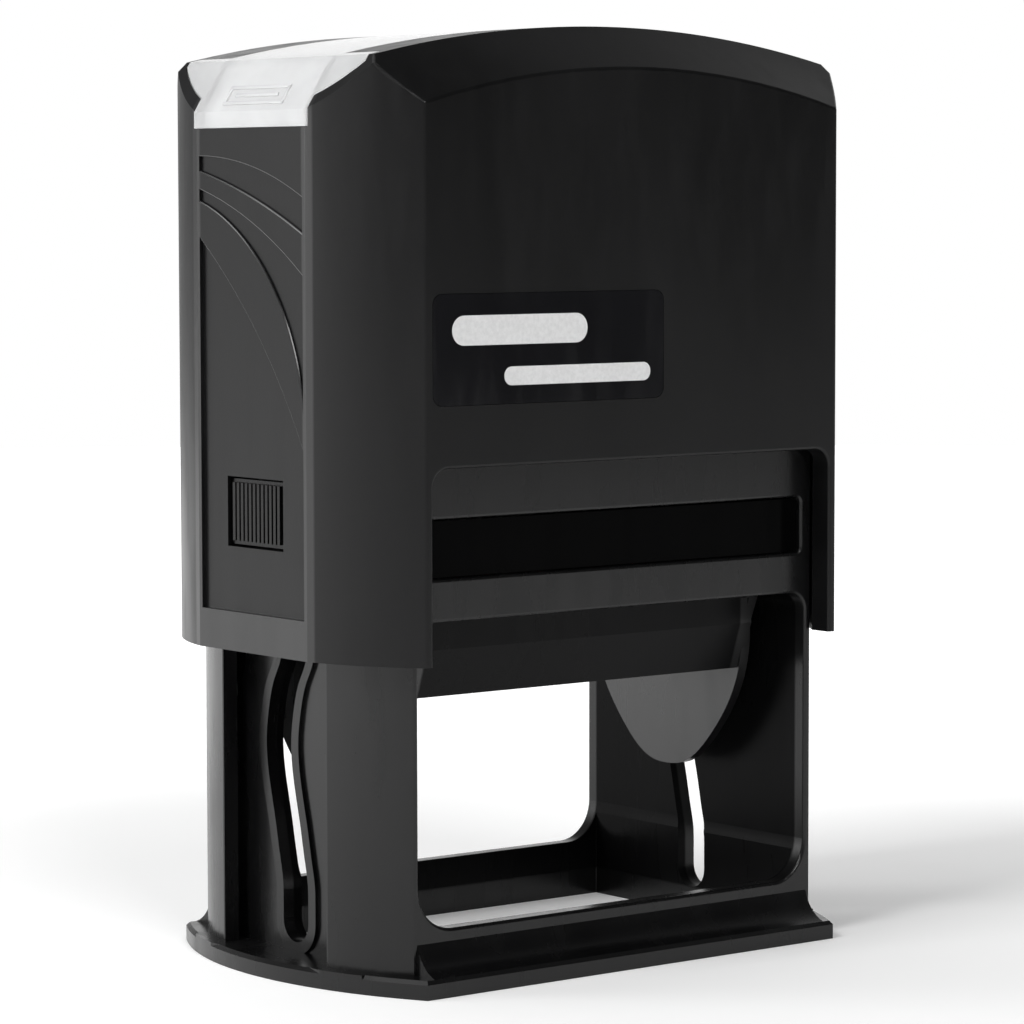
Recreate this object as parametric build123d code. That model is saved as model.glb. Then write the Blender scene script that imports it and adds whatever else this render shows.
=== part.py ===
from build123d import *
import math
import os

# Self inking stamp, millimetres.  +X to the right, +Y to the rear, +Z up.
# The origin is the centre of the base, on the surface that the stamp stands on.
# It is drawn at rest: case up, rubber face turned up against the ink pad.

# ---- case shell ----
case_width = 69.2            # over the flat side panels
case_depth = 45.0            # over the front and rear faces
front_drop = 4.5             # top of the front face below the highest line of the top
bevel_run = 5.2              # depth of the bevel between front face and top
arch_radius = 104.0          # arched upper edge of the front and rear faces
top_radius = 140.0           # arched top itself, between the two bevels
corner_run_x = 6.2           # how far a corner face reaches in from the side panel
corner_run_y = 12.5          # and from the front or rear face
corner_bulge = 0.9           # how far a corner face stands out from its chord
case_wall = 2.4
opening_round = 0.35         # softened rims of the openings
edge_round = 0.5             # softened outer edges of the case
end_slope = 1.55             # rise over run of the slanted ends of the top
end_drop = 9.0               # foot of a slanted end below the highest line
notch_edge = 0.9             # front face left beside the notch
notch_rise = 5.5             # notch above the pad slot
notch_round = 2.0
side_rib = 0.7               # thicker band inside each side, between the columns
side_rib_gap = 0.5
panel_edge = 0.5             # border beside the sunk panel on each side
panel_foot_rise = 4.2        # panel above the lower rim
panel_head_drop = 3.0        # panel below the foot of the slanted end
panel_sink = 0.45
band_sink = 0.3              # curved bands above the sunk panel

# ---- index window along the top ----
window_width = 21.0
window_wall = 1.2
window_rim = 0.8             # case wall left round the window's slanted ends
window_gap = 0.1
channel_drop = 7.4           # floor of the window's channel below the highest line
channel_radius = 178.0
ceiling_thickness = 1.4
card_thickness = 0.3

# ---- frame that stands on the paper ----
slide_gap = 0.25             # between the case and the frame inside it
frame_wall = 1.8
frame_setback = 0.7          # front and rear faces, further in than the corner faces
frame_rise = 6.5             # frame above the pad slot
top_room = 12.8              # pressed case: highest line above the frame
flange_thickness = 2.0
flange_gap = 0.4             # pressed case above the flange
flange_edge = 0.4            # bevel along the flange's upper edge
cove_height = 3.2            # hollow curve between the flange and the rail above it
recess_width = 19.0          # open side between two columns
column_width = 7.8           # side wall's inner face in from the side panel
side_wall_thickness = 2.0
slot_rim = 0.4               # raised edge round the cam slot
slot_rim_width = 1.3
window_sill = 6.5            # openings in the frame's front and rear
window_overlap = 0.2         # opening past the side wall's inner face
sill_round = 4.5
head_round = 2.0
slot_band = 4.5              # bar between that opening and the pad slot
pad_slot_inset = 0.5
pad_slot_height = 6.2
deck_thickness = 1.4

# ---- mechanism ----
travel = 32.2                # how far the case is pressed down
rubber_clear = 0.1           # rubber face above the paper when it is fully down
pad_clear = 0.15             # rubber face under the ink pad at rest
die_offset = 5.5             # rubber face from the turning axis
axle_radius = 1.3
axle_clear = 0.05
crank = 2.8                  # guide pin's distance from the turning axis
guide_pin_radius = 1.1
disc_margin = 0.1            # crank disc past the guide pin
crank_disc_thickness = 0.8
pin_room = 1.2               # cam slot's half width past the guide pin
slot_lead = 0.6              # how far the slot runs ahead of the guide pin
slot_foot = 3.0
catch_height = 22.3          # small catch at the rear edge of each front column

# ---- stamp carrier ----
cheek_room = 2.6             # side wall's inner face out from a cheek
cheek_thickness = 1.2
cheek_margin = 0.75          # cheek's tip past the frame's face as it turns
frame_room = 4.15            # plate's edge in from the frame's face
plate_thickness = 2.2
die_plate_thickness = 1.2
cushion_thickness = 0.6
rubber_thickness = 1.1
relief = 0.45                # raised print on the rubber
rubber_edge = 0.5            # rubber in from the plate's edge
skirt_edge = 1.0             # skirt in from the plate's edge
skirt_drop = 8.2
skirt_step = 3.0
skirt_taper = 1.8
skirt_wall = 1.2

# ---- yoke between case and carrier ----
leg_gap = 0.3                # between a cheek and the leg beside it
leg_thickness = 1.1
leg_width = 10.0
leg_tail = 2.9               # leg below the turning axis
disc_gap = 0.15              # between a leg and the crank disc
bridge_thickness = 2.4

# ---- ink pad cartridge ----
tray_clear = 0.2             # between the tray and the yoke legs
tray_lift = 0.1              # tray above the lower edge of its slot
tray_head_gap = 0.2
tray_wall = 1.2
tray_side = 0.8
tray_end = 3.6               # solid end of the tray that rests on the frame
foam_clear = 0.1
grip_recess = 0.7            # front plate behind the frame's front face
grip_thickness = 2.2

# ---- return springs ----
spring_offset = 15.0
spring_radius = 4.1
spring_wire = 0.8
spring_turns = 8

# ---- lock buttons ----
button_width = 9.8
button_height = 7.0
button_rise = 14.9           # middle of the button above the lower rim
button_gap = 0.25
button_flange = 1.0
button_rib = 0.35
button_ribs = 12

# ---- label ----
label_edge = 0.9             # in from the left end of the front face
label_width = 30.9
label_rise = 6.5             # above the notch
label_height = 11.5
label_thickness = 0.3

# ---- worked out ----
case_bottom = flange_thickness + flange_gap + travel
side_flat = case_depth - 2 * corner_run_y
front_flat = case_width - 2 * corner_run_x
axis_height = travel + rubber_clear + die_offset
rubber_rest = axis_height + die_offset
pad_slot_sill = rubber_rest
pad_slot_head = pad_slot_sill + pad_slot_height
window_head = pad_slot_sill - slot_band
frame_top = pad_slot_head + frame_rise
top_crest = frame_top + travel + top_room
front_crest = top_crest - front_drop
end_foot = top_crest - end_drop
channel_crest = top_crest - channel_drop
ceiling_crest = channel_crest - ceiling_thickness
notch_top = pad_slot_head + notch_rise
notch_width = front_flat - 2 * notch_edge
panel_width = side_flat - 2 * panel_edge
panel_foot = case_bottom + panel_foot_rise
panel_head = end_foot - panel_head_drop
side_rib_depth = recess_width - 2 * side_rib_gap
button_centre = case_bottom + button_rise
label_left = -front_flat / 2 + label_edge
label_foot = notch_top + label_rise

frame_inset = case_wall + slide_gap
frame_face = case_depth / 2 - frame_inset - frame_setback
side_wall_inner = case_width / 2 - column_width
window_half = side_wall_inner + window_overlap
pad_slot_width = 2 * (side_wall_inner - pad_slot_inset)
deck_foot = pad_slot_head + tray_lift
slot_width = 2 * (guide_pin_radius + pin_room)

cheek_outer = side_wall_inner - cheek_room
cheek_drop = frame_face + cheek_margin
plate_half_depth = frame_face - frame_room
rubber_half_depth = plate_half_depth - rubber_edge
skirt_face = plate_half_depth - skirt_edge
plate_top = rubber_rest - rubber_thickness - cushion_thickness - die_plate_thickness
leg_inner = cheek_outer + leg_gap
leg_outer = leg_inner + leg_thickness
disc_inner = leg_outer + disc_gap
disc_outer = disc_inner + crank_disc_thickness
crank_disc_radius = crank + guide_pin_radius + disc_margin
bridge_top = ceiling_crest - leg_outer ** 2 / (2 * channel_radius) - 0.1
tray_half = leg_inner - tray_clear
tray_bottom = pad_slot_sill + tray_lift
tray_height = pad_slot_height - tray_lift - tray_head_gap
far = 200.0

os.makedirs("parts", exist_ok=True)


def block(x0, x1, y0, y1, z0, z1):
    """A box given by its limits."""
    size = Box(x1 - x0, y1 - y0, z1 - z0)
    return Pos((x0 + x1) / 2, (y0 + y1) / 2, (z0 + z1) / 2) * size


def both_sides(solid):
    """The solid and its mirror image across the middle plane."""
    return solid + mirror(solid, Plane.YZ)


def case_outline(inset=0.0):
    """Plan of the case: flat faces joined by four shallow rounded corner faces."""
    ax, ay = case_width / 2, side_flat / 2
    bx, by = front_flat / 2, case_depth / 2
    chord = math.hypot(ax - bx, by - ay)
    mid_x = (ax + bx) / 2 + corner_bulge * (by - ay) / chord
    mid_y = (ay + by) / 2 + corner_bulge * (ax - bx) / chord
    edges = []
    for sx in (1, -1):
        edges.append(Line((sx * ax, -ay), (sx * ax, ay)))
        edges.append(Line((-bx, sx * by), (bx, sx * by)))
        for sy in (1, -1):
            ends = (sx * ax, sy * ay), (sx * mid_x, sy * mid_y), (sx * bx, sy * by)
            edges.append(ThreePointArc(*ends))
    face = make_face(edges)
    if inset:
        face = offset(face, amount=-inset, kind=Kind.INTERSECTION)
    return face


def prism(face, z0, z1):
    """A plan face raised between two heights."""
    return Pos(0, 0, z0) * extrude(face, z1 - z0)


def profile_xz(face, y0, y1):
    """A front view profile drawn out along Y."""
    return Pos(0, y1, 0) * extrude(Plane.XZ * face, y1 - y0)


def profile_yz(face, x0, x1):
    """A side view profile drawn out along X."""
    return Pos(x0, 0, 0) * extrude(Plane.YZ * face, x1 - x0)


def arch_face(crest, radius, reach, level):
    """Front view face between an arched line and a level line."""
    drop = radius - math.sqrt(radius ** 2 - reach ** 2)
    arch = ThreePointArc((-reach, crest - drop), (0, crest), (reach, crest - drop))
    sides = Polyline((reach, crest - drop), (reach, level), (-reach, level), (-reach, crest - drop))
    return make_face([arch, sides])


def slanted_ends(shrink):
    """What is cut off both ends of the top, moved inwards by a wall."""
    x0 = case_width / 2 - shrink
    rise = 14.0
    tip = x0 - rise / end_slope
    face = make_face(Polyline((x0, end_foot), (x0 + far, end_foot), (x0 + far, end_foot + rise),
                              (tip, end_foot + rise), (x0, end_foot)))
    return both_sides(profile_xz(face, -far, far))


def cap_body(shrink, foot_crest):
    """The window's outer form, or its inner form when shrunk by a wall."""
    reach = case_width / 2 - shrink
    half = window_width / 2 - window_gap - shrink
    body = profile_xz(arch_face(top_crest - shrink, top_radius, reach, end_foot - 10), -half, half)
    body -= slanted_ends(shrink)
    return body - profile_xz(arch_face(foot_crest, channel_radius, reach + 1, 0), -far, far)


def window_wings(rim, wall, foot):
    """Plates that carry the window's slanted ends out to the corner faces."""
    reach = case_depth / 2 - bevel_run - rim
    plates = slanted_ends(wall) - slanted_ends(0)
    plates &= prism(case_outline(rim), foot, top_crest)
    return plates & block(-far, far, -reach, reach, foot, top_crest)


def bevel_cut():
    """What is cut off between the arched upper edge of the front face and the arched top."""
    x = front_flat / 2
    face_drop = arch_radius - math.sqrt(arch_radius ** 2 - x ** 2)
    top_drop = top_radius - math.sqrt(top_radius ** 2 - x ** 2)
    sections = []
    for part in (-0.4, 1.6):
        drop = face_drop + part * (top_drop - face_drop)
        crest = front_crest + part * front_drop
        face = arch_face(crest, (x ** 2 + drop ** 2) / (2 * drop), case_width / 2 + 2, top_crest + 30)
        sections.append(Pos(0, part * bevel_run - case_depth / 2, 0) * (Plane.XZ * face))
    return loft(sections, ruled=True)


def slot_face(margin=0.0):
    """Side view of the cam slot that turns the carrier over as the case goes down."""
    steps = 8
    left, right = [], []
    half = slot_width / 2 + margin
    for i in range(steps + 1):
        turn = math.pi * i / steps
        z = axis_height - travel * i / steps - crank * math.cos(turn)
        y = crank * math.sin(turn) + slot_lead * math.sin(2 * turn)
        left.append((y - half, z))
        right.append((y + half, z))
    head = axis_height + 0.8 + margin
    foot = slot_foot - margin
    upright = (0, 1)
    edges = [Spline(*left, tangents=[(0, -1), (0, -1)]), Spline(*right, tangents=[(0, -1), (0, -1)])]
    edges.append(Line(left[0], (-half, head)))
    edges.append(Line((-half, head), (half, head)))
    edges.append(Line((half, head), right[0]))
    edges.append(Line(left[-1], (-half, foot + half)))
    edges.append(ThreePointArc((-half, foot + half), (0, foot), (half, foot + half)))
    edges.append(Line((half, foot + half), right[-1]))
    return make_face(edges)


def rounded_opening(half_width, foot, head, foot_round, head_round_radius):
    """Front view of an opening with its own lower and upper corner radii."""
    face = make_face(Polyline((-half_width, foot), (half_width, foot), (half_width, head),
                              (-half_width, head), (-half_width, foot)))
    low = face.vertices().group_by(Axis.Y)[0]
    face = fillet(low, foot_round) if foot_round else face
    high = face.vertices().group_by(Axis.Y)[-1]
    return fillet(high, head_round_radius)


def make_base_frame():
    """Flange, four columns, side walls with cam slots, pad slot and deck."""
    half_x, half_y = case_width / 2, case_depth / 2
    ends = []
    for sx in (1, -1):
        ends.append(ThreePointArc((sx * front_flat / 2, -half_y), (sx * half_x, 0),
                                  (sx * front_flat / 2, half_y)))
        ends.append(Line((-front_flat / 2, sx * half_y), (front_flat / 2, sx * half_y)))
    flange = prism(make_face(ends), 0, flange_thickness)
    flange = chamfer(flange.faces().sort_by(Axis.Z)[-1].edges(), flange_edge)
    cove_y, cove_z = half_y - flange_edge, flange_thickness + cove_height
    bend = ((frame_face + cove_y) / 2 - 0.35, (flange_thickness + cove_z) / 2 - 0.45)
    cove = make_face([ThreePointArc((frame_face, cove_z), bend, (cove_y, flange_thickness)),
                      Polyline((cove_y, flange_thickness), (frame_face - 1, flange_thickness),
                               (frame_face - 1, cove_z), (frame_face, cove_z))])
    cove_half = notch_width / 2 - slide_gap
    cove = profile_yz(cove, -cove_half, cove_half)

    skin = prism(case_outline(frame_inset), 0, frame_top)
    skin &= block(-far, far, -frame_face, frame_face, 0, frame_top)
    foot = skin + flange + cove + mirror(cove, Plane.XZ)
    hollow = prism(case_outline(frame_inset + frame_wall), -1, frame_top + 1)
    inner_face = frame_face - frame_wall
    hollow &= block(-far, far, -inner_face, inner_face, -1, frame_top + 1)
    shell = foot - hollow

    half_recess = recess_width / 2
    for s in (1, -1):
        x0, x1 = sorted((s * (side_wall_inner + 1), s * far))
        shell -= block(x0, x1, -half_recess, half_recess, flange_thickness, frame_top + 1)

    side_reach = frame_face - frame_wall / 2
    wall_outer = side_wall_inner + side_wall_thickness
    wall = block(side_wall_inner, wall_outer, -side_reach, side_reach, 0, frame_top)
    wall &= prism(case_outline(frame_inset + frame_wall / 2), 0, frame_top)
    ledge = profile_yz(slot_face(slot_rim_width), wall_outer - 0.2, wall_outer + slot_rim)
    ledge &= block(0, far, -half_recess, half_recess, 0, frame_top)
    floor = block(side_wall_inner, half_x - 1.2, -half_recess - 6, half_recess + 6, 0, flange_thickness)
    floor &= prism(make_face(ends), 0, flange_thickness)
    wall = wall + ledge + floor
    wall -= profile_yz(slot_face(), side_wall_inner - 1, far)
    shell += both_sides(wall)

    deck = block(-side_wall_inner - 0.5, side_wall_inner + 0.5, -side_reach, side_reach,
                 deck_foot, deck_foot + deck_thickness)
    shell += deck
    for s in (1, -1):
        x0, x1 = sorted((s * (leg_inner - 0.25), s * (leg_outer + 0.25)))
        shell -= block(x0, x1, -leg_width / 2 - 0.3, leg_width / 2 + 0.3, deck_foot - 1, frame_top)
        seat = Cylinder(spring_radius - spring_wire - 0.4, deck_thickness + 1.5,
                        align=(Align.CENTER, Align.CENTER, Align.MIN))
        shell += Pos(s * spring_offset, 0, deck_foot) * seat

    opening = rounded_opening(window_half, window_sill, window_head, sill_round, head_round)
    shell -= profile_xz(opening, -far, far)
    slot = rounded_opening(pad_slot_width / 2, pad_slot_sill, pad_slot_head, 0.6, 0.6)
    shell -= profile_xz(slot, -far, far)

    rims = edges_on_face(shell, frame_face, window_half, window_sill, pad_slot_head)
    shell = fillet(rims, opening_round)

    catch_x = half_x - case_wall - side_rib - slide_gap
    catch = block(catch_x - 1.6, catch_x, -half_recess - 0.5, -half_recess + 1.3,
                  catch_height, catch_height + 2.2)
    shell += both_sides(catch)
    return shell


def panel_arcs():
    """Curved lines across each side panel, from the rear edge to the front one (y, z)."""
    half = panel_width / 2
    drops = ((1.6, 2.7, 6.0), (3.4, 6.1, 10.0), (5.1, 8.5, 14.1), (6.6, 11.6, 28.7), (10.3, 19.0, 32.3))
    return [((half, panel_head - rear), (0, panel_head - middle), (-half, panel_head - front))
            for rear, middle, front in drops]


def panel_faces():
    """Side view faces sunk into each side panel, each with its depth: two bands, then the panel."""
    arcs = panel_arcs()
    faces = []
    for upper, lower in ((0, 1), (2, 3)):
        a, b = arcs[upper], arcs[lower]
        edges = [ThreePointArc(*a), ThreePointArc(*b), Line(a[0], b[0]), Line(a[2], b[2])]
        faces.append((make_face(edges), band_sink))
    last = arcs[4]
    sides = Polyline(last[2], (last[2][0], panel_foot), (last[0][0], panel_foot), last[0])
    faces.append((make_face([ThreePointArc(*last), sides]), panel_sink))
    return faces


def soften_case(body):
    """Round the upright corners, the arched front and rear edges and the short edges at their ends."""
    upper = body.edges().filter_by(lambda e: e.center().Z > case_bottom + 1)
    upright = upper.filter_by(Axis.Z)
    arched = upper.filter_by(lambda e: abs(abs(e.center().Y) - case_depth / 2) < 0.1 and e.length > case_depth)
    short = upper.filter_by(lambda e: e.geom_type == GeomType.BSPLINE and 1 < e.length < 2 * bevel_run)
    return fillet(upright + arched + short, edge_round)


def edges_on_face(body, face_y, half_width, foot, head):
    """Edges that lie on the faces at plus and minus face_y, within a front view rectangle."""
    near = 0.02
    return body.edges().filter_by(lambda e: abs(abs(e.center().Y) - face_y) < near
                                  and abs(e.center().X) < half_width + near
                                  and foot - near < e.center().Z < head + near)


def make_case_shell():
    """Outer case: arched top, window channel, notches, side panels, button windows."""
    half_y = case_depth / 2
    body = prism(case_outline(), case_bottom, top_crest + 1)
    body &= profile_xz(arch_face(top_crest, top_radius, case_width / 2 + 2, 0), -far, far)
    body -= slanted_ends(0)
    bevel = bevel_cut()
    body -= bevel
    body -= mirror(bevel, Plane.XZ)
    body = soften_case(body)
    body -= window_wings(window_rim, window_wall + window_gap, end_foot)

    channel = block(-far, far, -window_width / 2, window_width / 2, case_bottom, top_crest + 5)
    channel -= profile_xz(arch_face(channel_crest, channel_radius, case_width / 2 + 1, 0), -far, far)
    body -= channel

    cavity = prism(case_outline(case_wall), case_bottom - 1, top_crest)
    cavity &= profile_xz(arch_face(ceiling_crest, channel_radius, case_width / 2 + 1, 0), -far, far)
    rib = block(case_width / 2 - case_wall - side_rib, far, -side_rib_depth / 2, side_rib_depth / 2,
                case_bottom - 2, top_crest)
    cavity -= both_sides(rib)
    body -= cavity

    notch = rounded_opening(notch_width / 2, case_bottom - 10, notch_top, 0, notch_round)
    body -= profile_xz(notch, -far, far)
    rim = edges_on_face(body, case_depth / 2, notch_width / 2, case_bottom + 1, notch_top)
    body = fillet(rim, opening_round)

    x_face = case_width / 2
    for face, sink in panel_faces():
        body -= both_sides(profile_yz(face, x_face - sink, far))

    reach_y = button_width / 2 + button_gap
    reach_z = button_height / 2 + button_gap
    hole = block(0, far, -reach_y, reach_y, button_centre - reach_z, button_centre + reach_z)
    pocket = block(0, x_face - case_wall, -reach_y - button_flange, reach_y + button_flange,
                   button_centre - reach_z - button_flange, button_centre + reach_z + button_flange)
    body -= both_sides(hole + pocket)

    body -= label_block(half_y - label_thickness, half_y + 1, 0.05)

    for s in (1, -1):
        ring = Cylinder(spring_radius + 1.6, 4.0) - Cylinder(spring_radius + 0.6, 4.0)
        ring = Pos(s * spring_offset, 0, ceiling_crest - 1.5) * ring
        ring &= profile_xz(arch_face(ceiling_crest + 0.3, channel_radius, case_width / 2, 0), -far, far)
        body += ring
    return body


def label_block(y0, y1, grow):
    """Rounded rectangle on the front face, between two distances from the middle."""
    width, height = label_width + 2 * grow, label_height + 2 * grow
    face = RectangleRounded(width, height, 1.2)
    face = Pos(label_left + label_width / 2, label_foot + label_height / 2) * face
    return profile_xz(face, -y1, -y0)


def make_label():
    """Glossy plate in its shallow pocket on the front face."""
    return label_block(case_depth / 2 - label_thickness, case_depth / 2, 0)


def make_yoke():
    """Bridge under the case's ceiling, with a leg down to each end of the carrier."""
    half_leg = leg_width / 2
    foot = axis_height - leg_tail
    leg = block(leg_inner, leg_outer, -half_leg, half_leg, foot, bridge_top)
    low_edges = leg.edges().filter_by(Axis.X).group_by(Axis.Z)[0]
    leg = fillet(low_edges, 2.5)
    half_bridge = spring_radius + 2.9
    bridge = block(-leg_outer, leg_outer, -half_bridge, half_bridge, bridge_top - bridge_thickness, bridge_top)
    rib = block(-leg_outer, leg_outer, -0.8, 0.8, bridge_top - bridge_thickness - 3.0, bridge_top)
    yoke = both_sides(leg) + bridge + rib
    for s in (1, -1):
        passage = Cylinder(spring_radius + 1.9, 40)
        yoke -= Pos(s * spring_offset, 0, bridge_top) * passage
    hole = Rot(0, 90, 0) * Cylinder(axle_radius + axle_clear, far)
    return yoke - Pos(0, 0, axis_height) * hole


def make_carrier():
    """Plate with a funnel shaped cheek at each end and a skirt along each side."""
    z0 = plate_top - plate_thickness
    plate = block(-cheek_outer, cheek_outer, -plate_half_depth, plate_half_depth, z0, plate_top)
    plate = fillet(plate.edges().filter_by(Axis.Z), 1.0)
    tip = axis_height - cheek_drop
    shoulder = plate_half_depth - 1.9
    curve = Spline((-shoulder, axis_height - 2.8), (-shoulder + 1.3, tip + 10.0), (-7.4, tip + 3.7),
                   (-2.6, tip + 0.3), (0, tip), (2.6, tip + 0.3), (7.4, tip + 3.7),
                   (shoulder - 1.3, tip + 10.0), (shoulder, axis_height - 2.8))
    top = Polyline((shoulder, axis_height - 2.8), (plate_half_depth - 0.6, z0), (plate_half_depth - 0.6, plate_top),
                   (-plate_half_depth + 0.6, plate_top), (-plate_half_depth + 0.6, z0),
                   (-shoulder, axis_height - 2.8))
    cheek = profile_yz(make_face([curve, top]), cheek_outer - cheek_thickness, cheek_outer)
    skirt_foot = z0 - skirt_drop
    outer = Polyline((-skirt_face, z0 + 0.2), (-skirt_face, z0 - skirt_step),
                     (-skirt_face + skirt_taper, skirt_foot), (-skirt_face + skirt_taper + skirt_wall, skirt_foot),
                     (-skirt_face + skirt_wall, z0 - skirt_step), (-skirt_face + skirt_wall, z0 + 0.2),
                     (-skirt_face, z0 + 0.2))
    skirt = profile_yz(make_face(outer), -cheek_outer + 0.6, cheek_outer - 0.6)
    body = plate + both_sides(cheek) + skirt + mirror(skirt, Plane.XZ)
    for s in (1, -1):
        boss = Rot(0, 90, 0) * Cylinder(axle_radius + 1.1, 2.5)
        body += Pos(s * (cheek_outer - cheek_thickness - 1.0), 0, axis_height) * boss
        hole = Rot(0, 90, 0) * Cylinder(axle_radius, 8)
        body -= Pos(s * cheek_outer, 0, axis_height) * hole
    return body


def make_guide_pin():
    """Axle through the yoke leg, with a disc that carries the off-centre guide pin."""
    pieces = ((axle_radius, cheek_outer - cheek_thickness, disc_inner, 0),
              (crank_disc_radius, disc_inner, disc_outer, 0),
              (guide_pin_radius, disc_outer, side_wall_inner + side_wall_thickness, crank))
    solid = None
    for radius, x0, x1, drop in pieces:
        round_bar = Rot(0, 90, 0) * Cylinder(radius, x1 - x0)
        round_bar = Pos((x0 + x1) / 2, 0, axis_height - drop) * round_bar
        solid = round_bar if solid is None else solid + round_bar
    return solid


def make_die_stack():
    """Clip-in die plate, adhesive cushion, and rubber with a plain raised border and bars."""
    half_x = cheek_outer - 0.6
    die = block(-half_x, half_x, -rubber_half_depth - 0.2, rubber_half_depth + 0.2,
                plate_top, plate_top + die_plate_thickness)
    z1 = plate_top + die_plate_thickness
    soft_x = half_x - 0.4
    cushion = block(-soft_x, soft_x, -rubber_half_depth, rubber_half_depth, z1, z1 + cushion_thickness)
    z2 = z1 + cushion_thickness
    sheet_top = rubber_rest - relief
    rubber = block(-soft_x, soft_x, -rubber_half_depth, rubber_half_depth, z2, sheet_top)
    edge = 1.0
    border = block(-soft_x + edge, soft_x - edge, -rubber_half_depth + edge, rubber_half_depth - edge,
                   sheet_top, rubber_rest)
    line = 0.9
    inside = block(-soft_x + edge + line, soft_x - edge - line, -rubber_half_depth + edge + line,
                   rubber_half_depth - edge - line, sheet_top, rubber_rest)
    rubber += border - inside
    for row, reach in enumerate((0.55, 0.8, 0.8, 0.45)):
        y = rubber_half_depth * (0.6 - 0.4 * row)
        rubber += block(-soft_x * reach, soft_x * reach, y - 1.1, y + 1.1, sheet_top, rubber_rest)
    return die, cushion, rubber


def make_pad():
    """Ink cartridge: an open-bottomed tray with a front plate, and the foam inside it."""
    end_y = frame_face - 0.25
    front_y = -frame_face + grip_recess
    tray_top = tray_bottom + tray_height
    tray = block(-tray_half, tray_half, front_y + 0.1, end_y, tray_bottom, tray_top)
    room_x = tray_half - tray_side
    room_y = frame_face - tray_end
    tray -= block(-room_x, room_x, -room_y, room_y, tray_bottom - 1, tray_top - tray_wall)
    grip_half = pad_slot_width / 2 - 0.2
    grip = block(-grip_half, grip_half, front_y, front_y + grip_thickness, tray_bottom, tray_top)
    grip = fillet(grip.edges().filter_by(Axis.Y), 0.5)
    tray += grip
    foam_top = tray_top - tray_wall
    foam_half_x, foam_half_y = room_x - foam_clear, room_y - foam_clear
    foam = block(-foam_half_x, foam_half_x, -foam_half_y, foam_half_y, rubber_rest + pad_clear, foam_top)
    return tray, foam


def make_window_set():
    """Clear cap, the holder under it, and the index card between the two."""
    window = cap_body(0, channel_crest + 0.05)
    wings = window_wings(window_rim + window_gap, window_wall, end_foot + 0.05)
    window += wings & profile_xz(arch_face(top_crest, top_radius, case_width / 2 + 1, 0), -far, far)
    window -= cap_body(window_wall, 0)
    air = 0.15
    inner = window_wall + air
    holder = cap_body(inner + card_thickness, channel_crest + 0.05)
    card = cap_body(inner, 0) - profile_xz(arch_face(top_crest - inner - card_thickness, top_radius,
                                                     case_width / 2, 0), -far, far)
    half_card = window_width / 2 - window_gap - inner - 0.4
    card &= block(-far, far, -half_card, half_card, end_foot, top_crest)
    return window, holder, card


def make_spring():
    """Coil spring from the deck up to the case's ceiling."""
    foot = deck_foot + deck_thickness + spring_wire / 2 + 0.05
    ceiling = ceiling_crest - (spring_offset + spring_radius) ** 2 / (2 * channel_radius)
    head = ceiling - spring_wire / 2 - 0.1
    height = head - foot
    coil = Helix(pitch=height / spring_turns, height=height, radius=spring_radius)
    section = Plane(origin=coil @ 0, z_dir=coil % 0) * Circle(spring_wire / 2)
    return Pos(spring_offset, 0, foot) * sweep(section, path=coil, is_frenet=True)


def make_button():
    """Ribbed push button with a flange behind the side wall."""
    face_x = case_width / 2 - panel_sink - 0.1
    flange_x = case_width / 2 - case_wall - 0.1
    back_x = flange_x - 1.0
    half_y, half_z = button_width / 2, button_height / 2
    z = button_centre
    cap = block(back_x, face_x - button_rib, -half_y, half_y, z - half_z, z + half_z)
    grow = button_flange + button_gap - 0.3
    flange = block(back_x, flange_x, -half_y - grow, half_y + grow, z - half_z - grow, z + half_z + grow)
    button = cap + flange
    pitch = (button_width - 0.8) / button_ribs
    for i in range(button_ribs):
        y = (i - (button_ribs - 1) / 2) * pitch
        button += block(face_x - button_rib - 0.05, face_x, y - pitch * 0.3, y + pitch * 0.3,
                        z - half_z + 0.4, z + half_z - 0.4)
    return button


def save(name, solid):
    """Write one node."""
    solid.label = name
    export_step(solid, os.path.join("parts", name + ".step"))


def save_pair(name, right):
    """Write a right hand node and its mirror image."""
    save(name + "_right", right)
    save(name + "_left", mirror(right, Plane.YZ))


save("base_frame", make_base_frame())
save("case_shell", make_case_shell())
save("label_plate", make_label())
save("inner_yoke", make_yoke())
save("stamp_carrier", make_carrier())
save_pair("guide_pin", make_guide_pin())
die_plate, die_cushion, rubber_die = make_die_stack()
save("die_plate", die_plate)
save("die_cushion", die_cushion)
save("rubber_die", rubber_die)
pad_tray, ink_pad = make_pad()
save("pad_tray", pad_tray)
save("ink_pad", ink_pad)
index_window, card_holder, index_card = make_window_set()
save("index_window", index_window)
save("card_holder", card_holder)
save("index_card", index_card)
save_pair("return_spring", make_spring())
save_pair("lock_button", make_button())
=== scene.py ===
"""Looks of a self inking stamp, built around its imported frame.  Metres, +X right, +Y rear, +Z up."""
import math

import bmesh
import bpy
from bpy.props import FloatProperty, FloatVectorProperty, IntProperty, PointerProperty
from bpy.types import Operator, Panel, PropertyGroup
from mathutils import Matrix, Vector


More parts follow.
